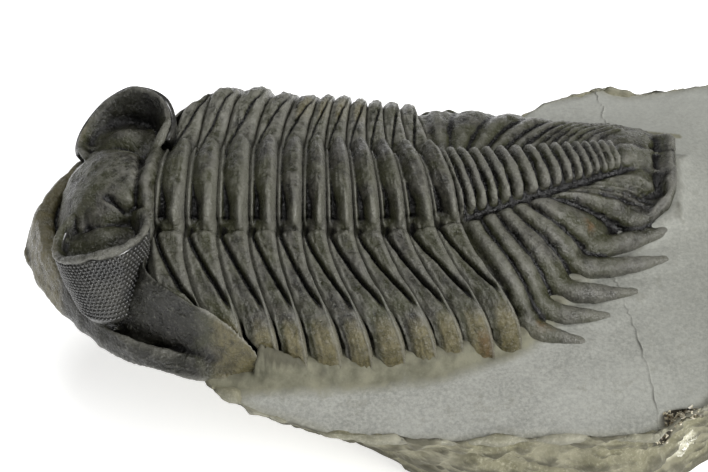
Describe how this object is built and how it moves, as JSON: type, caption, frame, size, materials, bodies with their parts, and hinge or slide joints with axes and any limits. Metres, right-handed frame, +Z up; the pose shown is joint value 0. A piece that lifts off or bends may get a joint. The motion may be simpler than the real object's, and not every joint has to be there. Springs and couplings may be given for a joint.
{
  "type": "fossil trilobite",
  "caption": "Large-eyed spiny-tailed trilobite fossil lying on its block of grey limestone matrix, head overhanging one end, for display on a shelf.",
  "frame": {"origin": "middle of the whole object's outline on the flat base of the rock", "axes": "+X from the head towards the tail, +Y across the body towards its right side, +Z up out of the slab"},
  "size_m": [0.0999, 0.0656, 0.0357],
  "materials": {
    "limestone": "matte",
    "fossil_shell": "satin",
    "eye_lenses": "satin"
  },
  "bodies": {
    "root": {"matrix": "limestone", "cephalon": "fossil_shell", "left_eye": "eye_lenses", "right_eye": "eye_lenses", "thorax_segment_01": "fossil_shell", "thorax_segment_02": "fossil_shell", "thorax_segment_03": "fossil_shell", "thorax_segment_04": "fossil_shell", "thorax_segment_05": "fossil_shell", "thorax_segment_06": "fossil_shell", "thorax_segment_07": "fossil_shell", "thorax_segment_08": "fossil_shell", "thorax_segment_09": "fossil_shell", "thorax_segment_10": "fossil_shell", "thorax_segment_11": "fossil_shell", "pygidium": "fossil_shell"}
  },
  "joints": []
}
